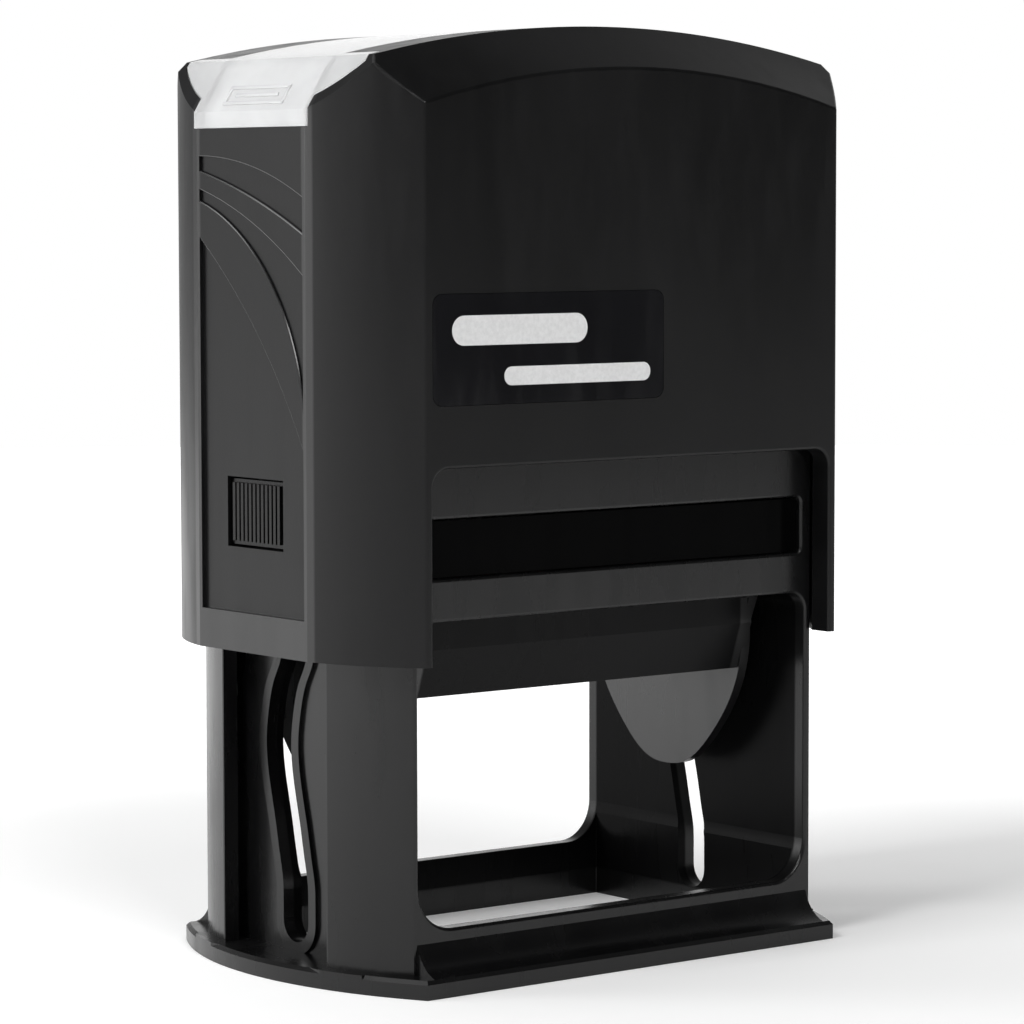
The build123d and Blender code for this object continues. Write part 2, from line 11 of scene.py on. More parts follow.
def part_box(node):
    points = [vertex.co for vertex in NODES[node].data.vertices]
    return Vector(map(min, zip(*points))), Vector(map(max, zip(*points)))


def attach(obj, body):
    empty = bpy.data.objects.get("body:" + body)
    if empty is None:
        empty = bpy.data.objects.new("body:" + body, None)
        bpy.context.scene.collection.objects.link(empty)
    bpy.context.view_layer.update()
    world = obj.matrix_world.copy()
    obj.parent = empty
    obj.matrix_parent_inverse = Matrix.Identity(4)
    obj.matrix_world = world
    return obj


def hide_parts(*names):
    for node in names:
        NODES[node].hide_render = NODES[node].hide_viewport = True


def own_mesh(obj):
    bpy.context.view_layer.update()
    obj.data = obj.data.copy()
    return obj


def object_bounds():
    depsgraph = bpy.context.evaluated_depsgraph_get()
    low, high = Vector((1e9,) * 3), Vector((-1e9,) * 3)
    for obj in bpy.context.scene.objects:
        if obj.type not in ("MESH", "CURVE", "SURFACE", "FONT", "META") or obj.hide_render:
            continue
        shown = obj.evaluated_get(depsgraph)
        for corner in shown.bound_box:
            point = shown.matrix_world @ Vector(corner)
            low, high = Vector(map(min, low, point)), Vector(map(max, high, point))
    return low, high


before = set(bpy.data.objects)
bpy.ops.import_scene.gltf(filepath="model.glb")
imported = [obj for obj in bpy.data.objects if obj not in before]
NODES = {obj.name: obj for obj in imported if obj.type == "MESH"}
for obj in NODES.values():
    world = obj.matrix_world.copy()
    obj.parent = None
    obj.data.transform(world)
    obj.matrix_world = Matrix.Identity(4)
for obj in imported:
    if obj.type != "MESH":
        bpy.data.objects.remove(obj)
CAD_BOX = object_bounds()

bl_info = {
    "name": "Self inking stamp",
    "version": (1, 0, 0),
    "blender": (4, 5, 0),
    "location": "View3D > Sidebar > Stamp",
    "description": "Finishes and fine pieces of a self inking stamp with a turning die",
    "category": "Object",
}

MM = 0.001
END_FOOT = 92.0 * MM          # foot of the slanted ends of the top
END_SLOPE = 1.55              # their rise over run
PANEL_HALF = 9.5 * MM         # half the width of a side panel
PANEL_HEAD = 89.0 * MM        # level that the curved lines are measured down from
# how far each curved line lies below that level at its rear end, middle and front end,
# and the radius of its bead, in millimetres
BEADS = ((1.6, 2.7, 6.0, 0.13), (3.4, 6.1, 10.0, 0.2), (5.1, 8.5, 14.1, 0.13),
         (6.6, 11.6, 28.7, 0.17), (10.3, 19.0, 32.3, 0.13))
BEAD_STEPS = 48               # straight pieces along a curved line
COIL_STEPS = 28               # and along one turn of a spring
SIDE_SKIN = 2.0 * MM          # depth of the side faces' painted sheen and painted shade, inward from the widest point
ANYWHERE = (-1.0, 1.0)        # limits that leave a finish open along an axis


def colour(name, text, default):
    """A colour that a user can change."""
    return FloatVectorProperty(name=name, description=text, subtype="COLOR", size=3,
                               min=0.0, max=1.0, default=default)


def length(name, text, default):
    """A length that a user can change."""
    return FloatProperty(name=name, description=text, default=default, min=0.0, unit="LENGTH")


def share(name, text, default):
    """A plain number between nought and one."""
    return FloatProperty(name=name, description=text, default=default, min=0.0, max=1.0)


class StampFinishes(PropertyGroup):
    """Colours and roughness of the stamp's materials."""
    case_black: colour("Case", "Moulded case and frame", (0.0038, 0.0038, 0.004))
    case_rough: share("Case roughness", "Roughness of the case's spark texture", 0.34)
    frame_rough: share("Frame roughness", "Roughness of the polished frame", 0.27)
    label_black: colour("Label", "Glossy ground of the label", (0.006, 0.006, 0.007))
    print_white: colour("Print", "White bars on the label", (0.78, 0.78, 0.78))
    card_white: colour("Card", "Paper of the index card", (0.9, 0.9, 0.88))
    holder_white: colour("Holder", "Holder under the index card", (0.88, 0.89, 0.9))
    rubber_red: colour("Rubber", "Stamp rubber", (0.3, 0.05, 0.035))
    foam_tan: colour("Cushion", "Adhesive foam sheet", (0.62, 0.55, 0.42))
    ink: colour("Ink", "Foam soaked with ink", (0.004, 0.004, 0.009))
    steel: colour("Spring steel", "Return springs", (0.62, 0.62, 0.64))


class StampSizes(PropertyGroup):
    """Sizes of the fine pieces that are modelled here."""
    spring_turns: IntProperty(name="Spring turns", description="Open turns of each return spring",
                              default=8, min=3, max=20)
    spring_wire: length("Spring wire", "Diameter of the spring wire", 0.8 * MM)
    foam_round: length("Foam rounding", "Rounded lower edges of the ink pad", 0.7 * MM)
    print_depth: length("Print depth", "Thickness of printed ink", 0.03 * MM)
    grip_width: length("Grip width", "Nail grip at each end of the index window", 11.0 * MM)
    grip_height: length("Grip height", "Height of that grip up the slope", 2.4 * MM)


class StampStudio(PropertyGroup):
    """Camera and floor."""
    azimuth: FloatProperty(name="Azimuth", description="Camera's bearing, nought in front",
                           default=math.radians(-38.19), subtype="ANGLE")
    elevation: FloatProperty(name="Elevation", description="Camera's height above the horizon",
                             default=math.radians(4.474), subtype="ANGLE")
    roll: FloatProperty(name="Roll", description="Camera's turn about its own axis",
                        default=math.radians(-0.096), subtype="ANGLE")
    distance: length("Distance", "From the camera to the point it looks at", 0.45139)
    lens: FloatProperty(name="Lens", description="Focal length, millimetres", default=142.66)
    floor_reach: length("Floor", "Half the width of the pale floor", 0.9)
    floor_white: colour("Floor colour", "Pale floor", (0.93, 0.93, 0.93))


# ---- shared tools ----

def settings(context):
    """The three groups of settings, finishes first."""
    scene = context.scene
    return scene.stamp_finishes, scene.stamp_sizes, scene.stamp_studio


def new_piece(name, mesh_maker, material, body, smooth=True):
    """A mesh object made from a bmesh, riding on one body."""
    bm = bmesh.new()
    mesh_maker(bm)
    bmesh.ops.recalc_face_normals(bm, faces=bm.faces)
    mesh = bpy.data.meshes.new(name)
    bm.to_mesh(mesh)
    bm.free()
    mesh.polygons.foreach_set("use_smooth", [smooth] * len(mesh.polygons))
    if smooth:
        mesh.set_sharp_from_angle(angle=math.radians(35))
    mesh.materials.append(material)
    piece = bpy.data.objects.new(name, mesh)
    bpy.context.scene.collection.objects.link(piece)
    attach(piece, body)
    return piece


def finish_node(name, material):
    """Give a carried-over node its material."""
    node = NODES[name]
    node.data.materials.clear()
    node.data.materials.append(material)


def box_mesh(bm, low, high, edge, segments=3):
    """A block between two corners with softened edges."""
    low, high = Vector(low), Vector(high)
    made = bmesh.ops.create_cube(bm, size=1.0)
    bmesh.ops.scale(bm, vec=high - low, verts=made["verts"])
    bmesh.ops.translate(bm, vec=(low + high) / 2, verts=made["verts"])
    edges = list({e for v in made["verts"] for e in v.link_edges})
    bmesh.ops.bevel(bm, geom=edges, offset=edge, segments=segments, profile=0.5,
                    affect="EDGES", material=-1)


# ---- materials ----

class Nodes:
    """A material's node tree, with short calls for the nodes that these materials use."""

    def __init__(self, name):
        self.material = bpy.data.materials.new(name)
        self.material.use_nodes = True
        self.tree = self.material.node_tree
        self.shader = self.tree.nodes["Principled BSDF"]
        self.place = self.add("ShaderNodeTexCoord").outputs["Object"]

    def add(self, kind, **values):
        """A node with its properties set."""
        node = self.tree.nodes.new(kind)
        for key, value in values.items():
            setattr(node, key, value)
        return node

    def link(self, source, target):
        self.tree.links.new(source, target)

    def noise(self, scale, detail=3.0, stretch=None):
        """Noise in object space, with its size given as grains per metre."""
        node = self.add("ShaderNodeTexNoise")
        node.inputs["Scale"].default_value = scale
        node.inputs["Detail"].default_value = detail
        place = self.place
        if stretch:
            mapping = self.add("ShaderNodeMapping")
            mapping.inputs["Scale"].default_value = stretch
            self.link(place, mapping.inputs["Vector"])
            place = mapping.outputs["Vector"]
        self.link(place, node.inputs["Vector"])
        return node.outputs["Fac"]

    def spread(self, value, low, high, start=0.3, end=0.7):
        """Map the middle of a noise onto a range."""
        node = self.add("ShaderNodeMapRange")
        node.inputs["From Min"].default_value = start
        node.inputs["From Max"].default_value = end
        node.inputs["To Min"].default_value = low
        node.inputs["To Max"].default_value = high
        self.link(value, node.inputs["Value"])
        return node.outputs["Result"]

    def tint(self, value, dark, light):
        """Blend two colours by a value."""
        node = self.add("ShaderNodeMix", data_type="RGBA")
        node.inputs["A"].default_value = (*dark, 1.0)
        node.inputs["B"].default_value = (*light, 1.0)
        self.link(value, node.inputs["Factor"])
        return node.outputs["Result"]

    def zone(self, limits, inside, outside):
        """One value inside a box of limits and another outside it, with a soft change between."""
        parts = self.add("ShaderNodeSeparateXYZ")
        self.link(self.place, parts.inputs[0])
        mask = None
        for axis, (low, high) in zip("XYZ", limits):
            value = parts.outputs[axis]
            if axis != "Z":
                size = self.add("ShaderNodeMath", operation="ABSOLUTE")
                self.link(value, size.inputs[0])
                value = size.outputs[0]
            for edge, rising in ((low, True), (high, False)):
                step = self.spread(value, 0.0 if rising else 1.0, 1.0 if rising else 0.0,
                                   edge - 0.15 * MM, edge + 0.15 * MM)
                if mask:
                    both = self.add("ShaderNodeMath", operation="MULTIPLY")
                    self.link(mask, both.inputs[0])
                    self.link(step, both.inputs[1])
                    step = both.outputs[0]
                mask = step
        mix = self.add("ShaderNodeMix", data_type="FLOAT")
        self.link(mask, mix.inputs["Factor"])
        mix.inputs["B"].default_value = inside
        if isinstance(outside, float):
            mix.inputs["A"].default_value = outside
        else:
            self.link(outside, mix.inputs["A"])
        return mix.outputs["Result"]

    def bump(self, heights):
        """Stack bumps, each given as (height output, strength, depth in metres)."""
        normal = None
        for height, strength, depth in heights:
            node = self.add("ShaderNodeBump")
            node.inputs["Strength"].default_value = strength
            node.inputs["Distance"].default_value = depth
            self.link(height, node.inputs["Height"])
            if normal:
                self.link(normal, node.inputs["Normal"])
            normal = node.outputs["Normal"]
        self.link(normal, self.shader.inputs["Normal"])

    def set(self, **values):
        """Constants on the shader's own sockets."""
        for key, value in values.items():
            self.shader.inputs[key.replace("_", " ")].default_value = value


def arc_centre(a, b, c):
    """Centre of the circle through three points."""
    d = 2 * (a.x * (b.y - c.y) + b.x * (c.y - a.y) + c.x * (a.y - b.y))
    aa, bb, cc = a.length_squared, b.length_squared, c.length_squared
    x = (aa * (b.y - c.y) + bb * (c.y - a.y) + cc * (a.y - b.y)) / d
    y = (aa * (c.x - b.x) + bb * (a.x - c.x) + cc * (b.x - a.x)) / d
    return Vector((x, y))


def shade(base, factor):
    """A colour made lighter or darker."""
    return tuple(min(1.0, c * factor) for c in base)


def moulded(name, base, rough, grain=5200.0, depth=0.012 * MM, cloud=0.06, gloss=0.3, painted_sheen_zones=()):
    """Moulded plastic: fine spark texture, faint flow clouds and small scuffs.

    Each zone is (limits along X, Y and Z, gloss there), in metres, with X and Y measured as
    distances from the middle planes: the gloss there raises or lowers the reflection by place, which is
    painted sheen and painted shade.
    """
    n = Nodes(name)
    fine = n.noise(grain, detail=2.0)
    flow = n.noise(55.0, detail=4.0, stretch=(1.0, 1.0, 0.35))
    scuff = n.noise(420.0, detail=5.0, stretch=(1.0, 1.0, 0.2))
    n.link(n.tint(n.spread(flow, 0.0, 1.0), shade(base, 0.8), shade(base, 1.3)),
           n.shader.inputs["Base Color"])
    add = n.add("ShaderNodeMath", operation="ADD")
    n.link(n.spread(flow, rough - cloud, rough + cloud), add.inputs[0])
    n.link(n.spread(scuff, -0.03, 0.05, 0.45, 0.75), add.inputs[1])
    n.link(add.outputs[0], n.shader.inputs["Roughness"])
    n.bump([(flow, 0.25, 0.05 * MM), (fine, 0.55, depth)])
    n.set(Specular_IOR_Level=gloss)
    sheen = None
    # each zone raises or lowers the reflection inside its box: painted sheen and painted shade
    for limits, level in painted_sheen_zones:
        sheen = n.zone(limits, level, sheen if sheen else gloss)
    if sheen:
        n.link(sheen, n.shader.inputs["Specular IOR Level"])
    return n.material


def printed(name, base, rough):
    """Screen printed ink, slightly uneven."""
    n = Nodes(name)
    cover = n.noise(2600.0, detail=2.0)
    n.link(n.tint(n.spread(cover, 0.0, 1.0), shade(base, 0.93), shade(base, 1.04)),
           n.shader.inputs["Base Color"])
    n.link(n.spread(cover, rough - 0.06, rough + 0.06), n.shader.inputs["Roughness"])
    n.bump([(cover, 0.2, 0.01 * MM)])
    return n.material


def paper(name, base):
    """Card stock with a fibre tooth."""
    n = Nodes(name)
    fibre = n.noise(3800.0, detail=6.0, stretch=(1.0, 0.35, 1.0))
    n.link(n.tint(n.spread(fibre, 0.0, 1.0), shade(base, 0.94), shade(base, 1.03)),
           n.shader.inputs["Base Color"])
    n.link(n.spread(fibre, 0.72, 0.88), n.shader.inputs["Roughness"])
    n.bump([(fibre, 0.4, 0.02 * MM)])
    return n.material


def clear_plastic(name):
    """Clear moulded cap with a slight milky body, faint flow lines and polish marks."""
    n = Nodes(name)
    flow = n.noise(90.0, detail=3.0, stretch=(0.4, 1.0, 1.0))
    marks = n.noise(900.0, detail=5.0, stretch=(0.2, 1.0, 1.0))
    n.link(n.spread(marks, 0.03, 0.1, 0.45, 0.8), n.shader.inputs["Roughness"])
    n.link(n.spread(flow, 0.55, 0.64), n.shader.inputs["Transmission Weight"])
    n.bump([(flow, 0.15, 0.06 * MM)])
    n.set(Base_Color=(0.98, 0.985, 0.99, 1.0), IOR=1.49)
    return n.material


def rubber(name, base):
    """Laser cut stamp rubber: cut lines, dust in the pores, dull sheen."""
    n = Nodes(name)
    cut = n.noise(2400.0, detail=3.0, stretch=(0.08, 1.0, 1.0))
    pores = n.noise(5200.0, detail=2.0)
    stain = n.noise(160.0, detail=4.0)
    n.link(n.tint(n.spread(stain, 0.0, 1.0), shade(base, 0.45), shade(base, 1.15)),
           n.shader.inputs["Base Color"])
    n.link(n.spread(pores, 0.5, 0.78), n.shader.inputs["Roughness"])
    n.bump([(cut, 0.3, 0.03 * MM), (pores, 0.4, 0.02 * MM)])
    n.set(Specular_IOR_Level=0.35)
    return n.material


def foam(name, base, pore=1900.0, wet=0.0):
    """Open-cell foam, dry or soaked."""
    n = Nodes(name)
    cells = n.add("ShaderNodeTexVoronoi", feature="F1")
    cells.inputs["Scale"].default_value = pore
    n.link(n.place, cells.inputs["Vector"])
    hollow_and_painted_shade = n.spread(cells.outputs["Distance"], 0.0, 1.0, 0.1, 0.6)
    # lighter on the ridges and darker in the hollows of the cells: painted shade in the pores
    n.link(n.tint(hollow_and_painted_shade, shade(base, 1.15), shade(base, 0.5)), n.shader.inputs["Base Color"])
    n.link(n.spread(cells.outputs["Distance"], 0.85 - 0.5 * wet, 0.95 - 0.6 * wet),
           n.shader.inputs["Roughness"])
    n.bump([(hollow_and_painted_shade, -0.8, 0.12 * MM)])
    n.set(Specular_IOR_Level=0.3 + 0.3 * wet)
    return n.material


def drawn_steel(name, base):
    """Bright spring wire with drawing marks round the coil."""
    n = Nodes(name)
    marks = n.noise(3000.0, detail=3.0, stretch=(1.0, 1.0, 6.0))
    haze = n.noise(220.0, detail=3.0)
    n.link(n.tint(n.spread(haze, 0.0, 1.0), shade(base, 0.8), base), n.shader.inputs["Base Color"])
    n.link(n.spread(marks, 0.16, 0.34), n.shader.inputs["Roughness"])
    n.bump([(marks, 0.2, 0.01 * MM)])
    n.set(Metallic=1.0)
    return n.material


# ---- pieces ----

class STAMP_OT_case(Operator):
    """Finish the case shell, the yoke under its ceiling and the two lock buttons"""
    bl_idname = "stamp.case"
    bl_label = "Case"

    def execute(self, context):
        finishes, _, _ = settings(context)
        black = finishes.case_black
        low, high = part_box("case_shell")
        # on the side faces the border reflects more and the sunk panel less than the rest of the case:
        # painted sheen and painted shade
        outer = (high.x - SIDE_SKIN, 1.0)
        panel = (outer, (-1.0, 9.4 * MM), (low.z + 4.3 * MM, 1.0))
        border = (outer, (-1.0, 11.0 * MM), ANYWHERE)
        painted_sheen_zones = ((border, 0.62), (panel, 0.24))
        finish_node("case_shell", moulded("case_black", black, finishes.case_rough, cloud=0.05,
                                          gloss=0.28, painted_sheen_zones=painted_sheen_zones))
        finish_node("inner_yoke", moulded("yoke_black", shade(black, 1.2), 0.38, depth=0.006 * MM))
        button = moulded("button_black", shade(black, 0.5), 0.25, depth=0.004 * MM, cloud=0.03,
                         gloss=0.22)
        for side in ("left", "right"):
            finish_node("lock_button_" + side, button)
        # the beads are lighter and glossier than the case: painted highlight along the curved lines of
        # the side panels
        painted_highlight = moulded("bead_black_painted_highlight", shade(black, 1.5), 0.22, depth=0.002 * MM, gloss=0.6)
        for side, sign in (("left", -1), ("right", 1)):
            def beads(bm):
                for rear, middle, front, radius in BEADS:
                    self.bead(bm, sign * (high.x - radius * MM), rear, middle, front, radius * MM)
            new_piece("panel_highlight_beads_" + side, beads, painted_highlight, "case")
        return {"FINISHED"}

    def bead(self, bm, x, rear, middle, front, radius):
        """A fine raised line across a side panel, from its rear edge to its front edge, lighter and
        glossier than the case: painted highlight.
        """
        half, head = PANEL_HALF, PANEL_HEAD
        a, b, c = (Vector((half, head - rear * MM)), Vector((0, head - middle * MM)),
                   Vector((-half, head - front * MM)))
        centre = arc_centre(a, b, c)
        start = (a - centre).normalized()
        turn = -start.angle_signed((c - centre).normalized())
        frame_at = Matrix.Translation((x, a.x, a.y))
        ring = bmesh.ops.create_circle(bm, cap_ends=True, segments=8, radius=radius,
                                       matrix=frame_at @ self.facing(start))
        section = list({f for v in ring["verts"] for f in v.link_faces})
        bmesh.ops.spin(bm, geom=section, cent=(x, centre.x, centre.y), axis=(1, 0, 0),
                       angle=turn, steps=BEAD_STEPS, use_duplicate=False)

    def facing(self, start):
        """Turn a flat ring so that it lies in the plane of the X axis and the arc's radius."""
        radial = Vector((0, start.x, start.y))
        side = Vector((1, 0, 0))
        out = Matrix((side, radial, side.cross(radial))).transposed()
        return out.to_4x4()


class STAMP_OT_frame(Operator):
    """Finish the frame that stands on the paper"""
    bl_idname = "stamp.frame"
    bl_label = "Frame"

    def execute(self, context):
        finishes, _, _ = settings(context)
        # the frame's inner faces reflect almost nothing: painted shade inside the frame
        inside = ((-1.0, 27.9 * MM), (-1.0, 17.6 * MM), (3 * MM, 1.0))
        finish_node("base_frame", moulded("frame_black_painted_shade", shade(finishes.case_black, 0.9),
                                          finishes.frame_rough, depth=0.005 * MM, cloud=0.05,
                                          gloss=0.42, painted_sheen_zones=((inside, 0.05),)))
        return {"FINISHED"}


class STAMP_OT_carrier(Operator):
    """Finish the carrier, its guide pins and the die plate"""
    bl_idname = "stamp.carrier"
    bl_label = "Carrier"

    def execute(self, context):
        finishes, _, _ = settings(context)
        black = finishes.case_black
        # the cheeks at the ends reflect far more than the rest of the carrier: painted sheen
        painted_sheen_cheeks = ((22.0 * MM, 1.0), ANYWHERE, ANYWHERE)
        finish_node("stamp_carrier", moulded("carrier_black_painted_sheen", black, 0.3, depth=0.006 * MM,
                                             gloss=0.12, painted_sheen_zones=((painted_sheen_cheeks, 0.75),)))
        finish_node("die_plate", moulded("die_plate_black", shade(black, 1.1), 0.4))
        pin = moulded("pin_black", shade(black, 1.2), 0.2, depth=0.002 * MM, cloud=0.03)
        for side in ("left", "right"):
            finish_node("guide_pin_" + side, pin)
        return {"FINISHED"}


class STAMP_OT_springs(Operator):
    """Wind the two return springs"""
    bl_idname = "stamp.springs"
    bl_label = "Return springs"

    def execute(self, context):
        finishes, sizes, _ = settings(context)
        steel = drawn_steel("spring_steel", finishes.steel)
        for side in ("left", "right"):
            node = "return_spring_" + side
            low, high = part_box(node)
            middle = (low + high) / 2
            wire = sizes.spring_wire / 2
            radius = (high.x - low.x) / 2 - wire

            def wind(bm):
                self.wind(bm, middle, radius, wire, low.z, high.z, sizes.spring_turns)

            spring = new_piece("coil_spring_" + side, wind, steel, "frame")
            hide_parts(node)
            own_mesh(spring)
        return {"FINISHED"}

    def wind(self, bm, middle, radius, wire, foot, head, turns):
        """Screw a wire section up: a closed turn, the open turns, a closed turn."""
        spot = Matrix.Translation((middle.x + radius, middle.y, foot + wire))
        turn = Matrix.Rotation(math.radians(90), 4, "X")
        made = bmesh.ops.create_circle(bm, cap_ends=True, segments=10, radius=wire, matrix=spot @ turn)
        section = list({f for v in made["verts"] for f in v.link_faces})
        closed = 2.1 * wire
        open_rise = (head - foot - 2 * wire - 2 * closed) / turns
        for count, rise in ((1, closed), (turns, open_rise), (1, closed)):
            spun = bmesh.ops.spin(bm, geom=section, cent=(middle.x, middle.y, 0), axis=(0, 0, 1),
                                  dvec=(0, 0, rise / COIL_STEPS), angle=2 * math.pi * count,
                                  steps=COIL_STEPS * count, use_duplicate=False)
            section = [g for g in spun["geom_last"] if isinstance(g, bmesh.types.BMFace)]
        bmesh.ops.remove_doubles(bm, verts=bm.verts, dist=1e-6)


class STAMP_OT_ink_pad(Operator):
    """Finish the ink cartridge and make its foam pad"""
    bl_idname = "stamp.ink_pad"
    bl_label = "Ink pad"

    def execute(self, context):
        finishes, sizes, _ = settings(context)
        # the tray is darker than the case and almost without reflection: painted shade deep inside the
        # frame
        finish_node("pad_tray", moulded("tray_black_painted_shade", shade(finishes.case_black, 0.35), 0.14,
                                        depth=0.003 * MM, cloud=0.04, gloss=0.02))
        low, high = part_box("ink_pad")

        def pad(bm):
            box_mesh(bm, low, high, sizes.foam_round, segments=4)
            cuts = [e for e in bm.edges if e.calc_length() > 0.01]
            bmesh.ops.subdivide_edges(bm, edges=cuts, cuts=11, use_grid_fill=True)
            self.settle(bm, low, high)

        piece = new_piece("ink_foam", pad, foam("ink_foam", finishes.ink, wet=1.0), "pad")
        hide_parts("ink_pad")
        return {"FINISHED"}

    def settle(self, bm, low, high):
        """Press the printing border's shallow mark into the pad's lower face."""
        middle, half = (low + high) / 2, (high - low) / 2
        depth = 0.12 * MM
        for vert in bm.verts:
            if vert.co.z < low.z + 0.2 * MM:
                u = (vert.co.x - middle.x) / half.x
                v = (vert.co.y - middle.y) / half.y
                inside = max(0.0, 1 - max(abs(u) ** 6, abs(v) ** 6))
                vert.co.z += depth * inside


class STAMP_OT_rubber_die(Operator):
    """Finish the stamp rubber and make the cushion under it"""
    bl_idname = "stamp.rubber_die"
    bl_label = "Rubber die"

    def execute(self, context):
        finishes, _, _ = settings(context)
        finish_node("rubber_die", rubber("die_rubber", finishes.rubber_red))
        low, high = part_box("die_cushion")

        def sheet(bm):
            box_mesh(bm, low, high, 0.12 * MM, segments=2)

        piece = new_piece("cushion_sheet", sheet, foam("cushion_foam", finishes.foam_tan, 3600.0),
                          "carrier")
        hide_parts("die_cushion")
        return {"FINISHED"}


class STAMP_OT_label(Operator):
    """Finish the glossy label and print plain bars on it"""
    bl_idname = "stamp.label"
    bl_label = "Label"

    def execute(self, context):
        finishes, sizes, _ = settings(context)
        finish_node("label_plate", moulded("label_black", finishes.label_black, 0.12,
                                           depth=0.001 * MM, cloud=0.02))
        low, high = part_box("label_plate")
        wide, tall = high.x - low.x, high.z - low.z
        # left end, right end, middle level and height of each bar, as shares of the label
        rows = ((0.08, 0.66, 0.67, 0.27), (0.3, 0.94, 0.25, 0.17))

        def bars(bm):
            for left, right, centre, height in rows:
                x0, x1 = low.x + wide * left, low.x + wide * right
                z = low.z + tall * centre
                self.bar(bm, x0, x1, z, tall * height / 2, low.y, sizes.print_depth)

        new_piece("label_print", bars, printed("label_white", finishes.print_white, 0.45), "case")
        return {"FINISHED"}

    def bar(self, bm, x0, x1, z, half, face, depth):
        """A flat bar with round ends, standing on the label's face."""
        made = bmesh.ops.create_cube(bm, size=1.0)
        verts = made["verts"]
        bmesh.ops.scale(bm, vec=(x1 - x0, depth, 2 * half), verts=verts)
        bmesh.ops.translate(bm, vec=((x0 + x1) / 2, face - depth / 2, z), verts=verts)
        corners = [e for v in verts for e in v.link_edges
                   if abs((e.verts[0].co - e.verts[1].co).normalized().y) > 0.9]
        bmesh.ops.bevel(bm, geom=list(set(corners)), offset=half * 0.98, segments=8, profile=0.5,
                        affect="EDGES", material=-1)


class STAMP_OT_index(Operator):
    """Finish the clear index window, its holder and the printed card"""
    bl_idname = "stamp.index"
    bl_label = "Index window"

    def execute(self, context):
        finishes, sizes, _ = settings(context)
        clear = clear_plastic("window_clear")
        finish_node("index_window", clear)
        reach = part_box("index_window")[1].x
        for side, sign in (("left", -1), ("right", 1)):
            def grip(bm):
                self.grip(bm, reach, sign, sizes.grip_width, sizes.grip_height)
            new_piece("window_grip_" + side, grip, clear, "window")
        finish_node("card_holder", moulded("holder_white", finishes.holder_white, 0.4,
                                           depth=0.004 * MM))
        finish_node("index_card", paper("card_stock", finishes.card_white))
        return {"FINISHED"}

    def grip(self, bm, reach, sign, width, height):
        """Raised frame and a rib across its middle on the slanted end, for a fingernail."""
        slope = math.atan(END_SLOPE)
        foot = Vector((sign * reach, 0, END_FOOT))
        lean = Matrix.Rotation(-sign * (math.pi / 2 - slope), 4, "Y")
        place = Matrix.Translation(foot) @ lean
        thick, edge, bar = 0.28 * MM, 0.1 * MM, 0.45 * MM
        low = 0.75 * MM
        bars = [(-width / 2, width / 2, low, low + bar),
                (-width / 2, width / 2, low + height - bar, low + height),
                (-width / 2, -width / 2 + bar, low, low + height),
                (width / 2 - bar, width / 2, low, low + height),
                (-width * 0.36, width * 0.36, low + height / 2 - bar / 2, low + height / 2 + bar / 2)]
        for y0, y1, z0, z1 in bars:
            box_mesh(bm, (-thick / 2, y0, z0), (thick / 2, y1, z1), edge, segments=2)
        bmesh.ops.transform(bm, matrix=place, verts=bm.verts)


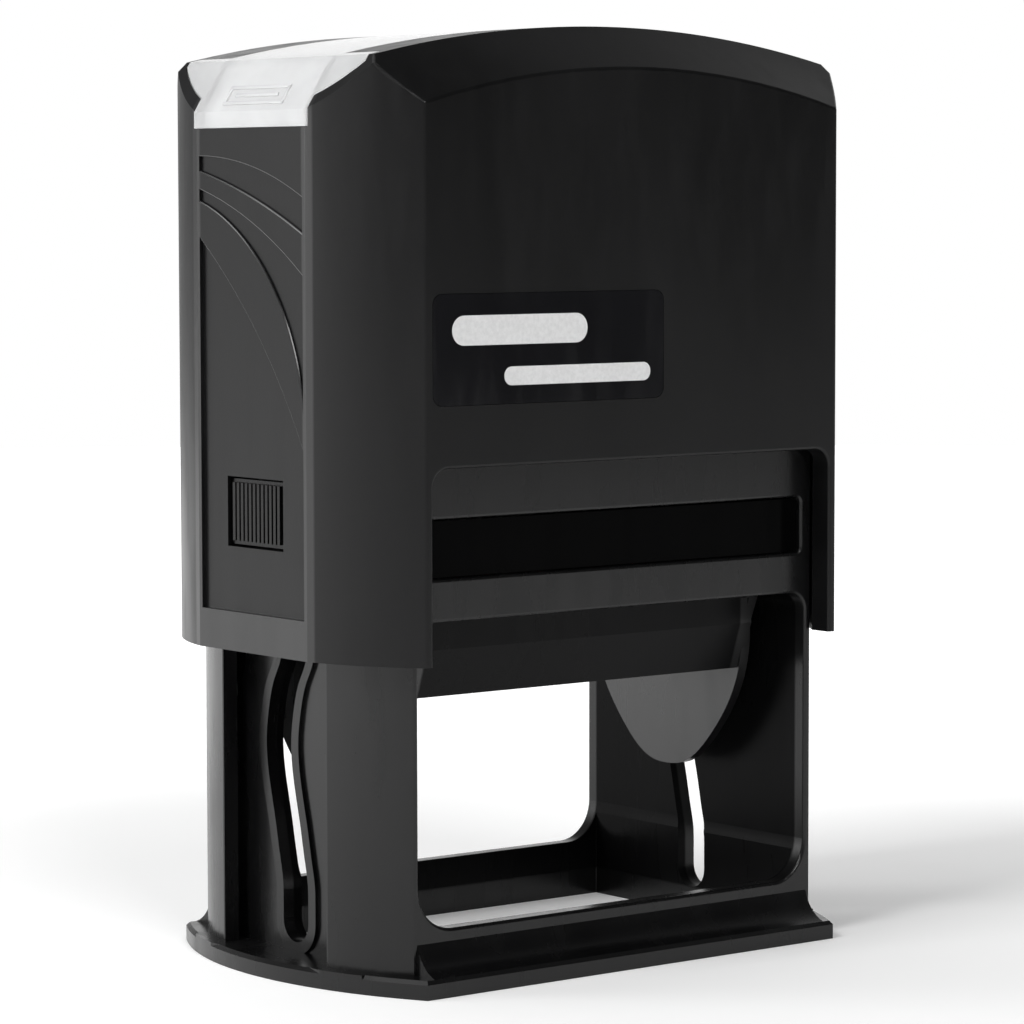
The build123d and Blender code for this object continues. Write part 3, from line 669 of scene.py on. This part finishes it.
class STAMP_OT_stage(Operator):
    """Lay the floor, hang the lights and place the camera"""
    bl_idname = "stamp.stage"
    bl_label = "Stage"

    def execute(self, context):
        _, _, studio = settings(context)
        self.floor(context, studio)
        self.lights(context)
        self.world(context)
        self.camera(context, studio)
        return {"FINISHED"}

    def floor(self, context, studio):
        """A wide pale floor that glows: painted light, dimmer near the stamp and in front of it."""
        bm = bmesh.new()
        bmesh.ops.create_circle(bm, cap_ends=True, segments=96, radius=studio.floor_reach)
        bmesh.ops.translate(bm, vec=(0, 0, -0.02 * MM), verts=bm.verts)
        mesh = bpy.data.meshes.new("floor")
        bm.to_mesh(mesh)
        bm.free()
        n = Nodes("floor_pale")
        grain = n.noise(300.0, detail=3.0)
        white = tuple(studio.floor_white)
        n.link(n.tint(n.spread(grain, 0.0, 1.0), shade(white, 0.985), white),
               n.shader.inputs["Base Color"])
        # the glow grows with distance from the stamp and towards the rear: painted light, with painted
        # shade close to the stamp
        away = n.add("ShaderNodeVectorMath", operation="LENGTH")
        n.link(n.place, away.inputs[0])
        parts = n.add("ShaderNodeSeparateXYZ")
        n.link(n.place, parts.inputs[0])
        painted_glow = n.add("ShaderNodeMath", operation="MULTIPLY")
        n.link(n.spread(away.outputs["Value"], 0.14, 0.8, 0.07, 0.45), painted_glow.inputs[0])
        n.link(n.spread(parts.outputs["Y"], 0.4, 1.0, -0.12, 0.05), painted_glow.inputs[1])
        n.link(painted_glow.outputs[0], n.shader.inputs["Emission Strength"])
        n.set(Roughness=0.9, Specular_IOR_Level=0.1, Emission_Color=(1.0, 1.0, 1.0, 1.0))
        mesh.materials.append(n.material)
        floor = bpy.data.objects.new("floor", mesh)
        context.scene.collection.objects.link(floor)

    def lights(self, context):
        """Four soft lamps: back left, overhead, high on the left and high in front.

        Each has a bearing, a distance, a width, a height and a power.
        """
        middle = Vector((0, 0, (CAD_BOX[0].z + CAD_BOX[1].z) / 2))
        boxes = (("back_left", (-0.75, 0.62, 0.34), 1.9, 0.5, 1.3, 7.0),
                 ("overhead", (-0.15, 0.3, 1.0), 1.7, 1.2, 1.2, 6.0),
                 ("left_high", (-1.0, -0.12, 0.95), 1.9, 0.7, 0.7, 22.0),
                 ("front_high", (-0.25, -1.0, 0.85), 1.9, 0.7, 0.7, 13.0))
        for name, bearing, distance, width, height, power in boxes:
            data = bpy.data.lights.new(name, "AREA")
            data.shape = "RECTANGLE"
            data.size, data.size_y = width, height
            data.energy = power
            lamp = bpy.data.objects.new(name, data)
            lamp.location = middle + Vector(bearing).normalized() * distance
            lamp.rotation_euler = (lamp.location - middle).to_track_quat("Z", "Y").to_euler()
            lamp.visible_camera = False
            context.scene.collection.objects.link(lamp)

    def world(self, context):
        """A pale studio that is brightest behind the stamp and dim overhead and in front of it."""
        world = bpy.data.worlds.new("studio")
        world.use_nodes = True
        tree = world.node_tree
        tree.nodes.clear()

        def node(kind, **values):
            made = tree.nodes.new(kind)
            for key, value in values.items():
                setattr(made, key, value)
            return made

        def ramp(source, start, end, low, high):
            made = node("ShaderNodeMapRange", interpolation_type="SMOOTHSTEP")
            made.inputs["From Min"].default_value = start
            made.inputs["From Max"].default_value = end
            made.inputs["To Min"].default_value = low
            made.inputs["To Max"].default_value = high
            tree.links.new(source, made.inputs["Value"])
            return made.outputs["Result"]

        def product(first, second):
            made = node("ShaderNodeMath", operation="MULTIPLY")
            tree.links.new(first, made.inputs[0])
            tree.links.new(second, made.inputs[1])
            return made.outputs[0]

        ray = node("ShaderNodeTexCoord").outputs["Generated"]
        parts = node("ShaderNodeSeparateXYZ")
        tree.links.new(ray, parts.inputs[0])
        rear = ramp(parts.outputs["Y"], -0.45, 0.4, 0.07, 1.0)
        above = ramp(parts.outputs["Z"], 0.15, 0.8, 1.0, 0.25)
        aside = node("ShaderNodeMath", operation="ABSOLUTE")
        tree.links.new(parts.outputs["X"], aside.inputs[0])
        rear = product(rear, ramp(aside.outputs[0], 0.3, 0.55, 0.4, 1.0))
        dim = node("ShaderNodeBackground")
        tree.links.new(product(rear, above), dim.inputs["Strength"])
        pale = node("ShaderNodeBackground")
        pale.inputs["Color"].default_value = (1.0, 1.0, 1.0, 1.0)
        dim.inputs["Color"].default_value = (1.0, 1.0, 1.0, 1.0)
        mix = node("ShaderNodeMixShader")
        tree.links.new(node("ShaderNodeLightPath").outputs["Is Camera Ray"], mix.inputs["Fac"])
        tree.links.new(dim.outputs[0], mix.inputs[1])
        tree.links.new(pale.outputs[0], mix.inputs[2])
        tree.links.new(mix.outputs[0], node("ShaderNodeOutputWorld").inputs["Surface"])
        context.scene.world = world

    def camera(self, context, studio):
        """The camera looks down slightly from the front left."""
        aim = Vector((0.45 * MM, 0, 47.95 * MM))
        side, rise = studio.azimuth, studio.elevation
        back = Vector((math.sin(side) * math.cos(rise), -math.cos(side) * math.cos(rise), math.sin(rise)))
        data = bpy.data.cameras.new("camera")
        data.lens = studio.lens
        data.clip_start, data.clip_end = 0.01, 20.0
        camera = bpy.data.objects.new("camera", data)
        camera.location = aim + back * studio.distance
        turned = (-back).to_track_quat("-Z", "Y").to_matrix().to_4x4()
        turned = turned @ Matrix.Rotation(studio.roll, 4, "Z")
        camera.rotation_euler = turned.to_euler()
        context.scene.collection.objects.link(camera)
        context.scene.camera = camera
        context.scene.view_settings.view_transform = "Standard"


class STAMP_PT_panel(Panel):
    """Sidebar list of the stamp's pieces"""
    bl_idname = "STAMP_PT_panel"
    bl_label = "Self inking stamp"
    bl_space_type = "VIEW_3D"
    bl_region_type = "UI"
    bl_category = "Stamp"

    def draw(self, context):
        for step in STEPS:
            self.layout.operator(step.bl_idname)


STEPS = (STAMP_OT_case, STAMP_OT_frame, STAMP_OT_carrier, STAMP_OT_springs, STAMP_OT_ink_pad,
         STAMP_OT_rubber_die, STAMP_OT_label, STAMP_OT_index, STAMP_OT_stage)
GROUPS = (("stamp_finishes", StampFinishes), ("stamp_sizes", StampSizes), ("stamp_studio", StampStudio))


def register():
    """Add the settings, the operators and the panel."""
    for name, group in GROUPS:
        bpy.utils.register_class(group)
        setattr(bpy.types.Scene, name, PointerProperty(type=group))
    for cls in (*STEPS, STAMP_PT_panel):
        bpy.utils.register_class(cls)


def unregister():
    """Take them away again."""
    for cls in reversed((*STEPS, STAMP_PT_panel)):
        bpy.utils.unregister_class(cls)
    for name, group in reversed(GROUPS):
        delattr(bpy.types.Scene, name)
        bpy.utils.unregister_class(group)


def main():
    """Build everything in order."""
    register()
    for step in STEPS:
        group, name = step.bl_idname.split(".")
        getattr(getattr(bpy.ops, group), name)()


if __name__ == "__main__":
    main()
